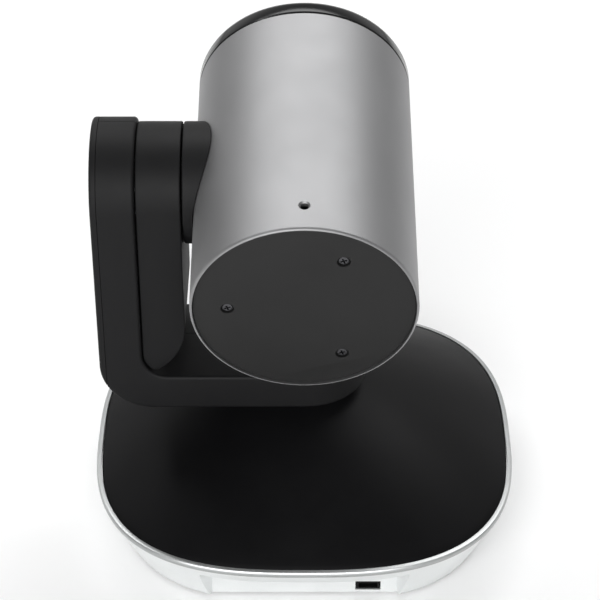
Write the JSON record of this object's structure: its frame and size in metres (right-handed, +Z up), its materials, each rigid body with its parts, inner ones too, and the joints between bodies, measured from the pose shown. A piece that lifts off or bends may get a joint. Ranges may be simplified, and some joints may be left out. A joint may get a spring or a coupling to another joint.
{
  "type": "ptz camera",
  "caption": "Pan-tilt-zoom camera: barrel head on a tilting side arm that pans over a domed square base.",
  "frame": {"origin": "centre of the resting face under the base, on the pan axis", "axes": "+Z up along the pan axis; the lens looks towards -Y; +X is the side the arm stands on"},
  "size_m": [0.13, 0.13, 0.1536],
  "materials": {
    "silver_plastic": "satin light silver paint on moulded plastic",
    "satin_metal": "fine-grained satin metal",
    "steel": "plain steel",
    "screw_black": "blackened steel",
    "brass": "turned brass",
    "charcoal_plastic": "fine matte texture",
    "satin_black_plastic": "satin",
    "gloss_black_plastic": "polished",
    "lens_housing": "matte black",
    "matte_grey_plastic": "matte dark grey",
    "connector_black": "matte black",
    "rubber": "soft matte",
    "circuit_board": "green solder mask",
    "gear_nylon": "natural nylon",
    "lens_glass": "coated optical glass"
  },
  "bodies": {
    "base": {"base_bowl": "silver_plastic", "rim_band": "silver_plastic", "base_top_cover": "satin_black_plastic", "base_bottom_plate": "matte_grey_plastic", "foot_1": "rubber", "foot_2": "rubber", "foot_3": "rubber", "foot_4": "rubber", "plate_screw_1": "steel", "plate_screw_2": "steel", "plate_screw_3": "steel", "plate_screw_4": "steel", "tripod_insert": "brass", "base_chassis": "steel", "pan_bearing_1": "steel", "pan_bearing_2": "steel", "pan_motor": "steel", "main_circuit_board": "circuit_board", "power_jack": "connector_black", "usb_port": "connector_black", "hub_port": "connector_black", "lock_plate": "steel", "remote_window": "gloss_black_plastic"},
    "pan_arm": {"pan_shaft": "steel", "pan_gear": "gear_nylon", "pan_collar": "charcoal_plastic", "shaft_screw_1": "steel", "shaft_screw_2": "steel", "shaft_screw_3": "steel", "arm_rear_shell": "charcoal_plastic", "arm_front_shell": "charcoal_plastic", "arm_side_cap": "charcoal_plastic", "tower_cover": "charcoal_plastic", "arm_frame": "steel", "tilt_bearing": "steel", "tilt_motor": "steel"},
    "head": {"barrel_tube": "satin_metal", "tilt_boss": "charcoal_plastic", "tilt_shaft": "steel", "tilt_gear": "gear_nylon", "head_frame": "steel", "rear_bulkhead": "steel", "rear_cap": "matte_grey_plastic", "rear_screw_1": "screw_black", "rear_screw_2": "screw_black", "rear_screw_3": "screw_black", "front_bezel": "gloss_black_plastic", "lens_barrel": "lens_housing", "front_lens": "lens_glass", "lens_ring": "gloss_black_plastic", "guide_rod_1": "steel", "guide_rod_2": "steel", "image_sensor": "lens_housing", "sensor_board": "circuit_board"},
    "pan_drive_pinion": {"pan_pinion": "brass"},
    "tilt_drive_pinion": {"tilt_pinion": "brass"},
    "zoom_group": {"zoom_carrier": "lens_housing", "zoom_lens": "lens_glass"},
    "focus_group": {"focus_carrier": "lens_housing", "focus_lens": "lens_glass"}
  },
  "joints": [
    {"name": "pan", "type": "hinge", "parent": "base", "child": "pan_arm", "pos_m": [0, 0, 0.03], "axis": [0, 0, 1], "range_deg": [-130, 130]},
    {"name": "tilt", "type": "hinge", "parent": "pan_arm", "child": "head", "pos_m": [0, 0, 0.1142], "axis": [1, 0, 0], "range_deg": [-26.9, 103.1]},
    {"name": "pan_pinion_spin", "type": "hinge", "parent": "base", "child": "pan_drive_pinion", "pos_m": [-0.02121, -0.02121, 0.0295], "axis": [0, 0, 1], "range_deg": [-521, 521]},
    {"name": "tilt_pinion_spin", "type": "hinge", "parent": "pan_arm", "child": "tilt_drive_pinion", "pos_m": [0.0562, 0, 0.0988], "axis": [1, 0, 0], "range_deg": [-402, 106]},
    {"name": "zoom_travel", "type": "slide", "parent": "head", "child": "zoom_group", "axis": [0, -0.9813, 0.1925], "range_m": [-0.006, 0.006]},
    {"name": "focus_travel", "type": "slide", "parent": "head", "child": "focus_group", "axis": [0, -0.9813, 0.1925], "range_m": [-0.0025, 0.0025]}
  ],
  "couplings": [
    {"joint": "pan_pinion_spin", "follows": "pan", "ratio": -4},
    {"joint": "tilt_pinion_spin", "follows": "tilt", "ratio": -3.8889}
  ]
}
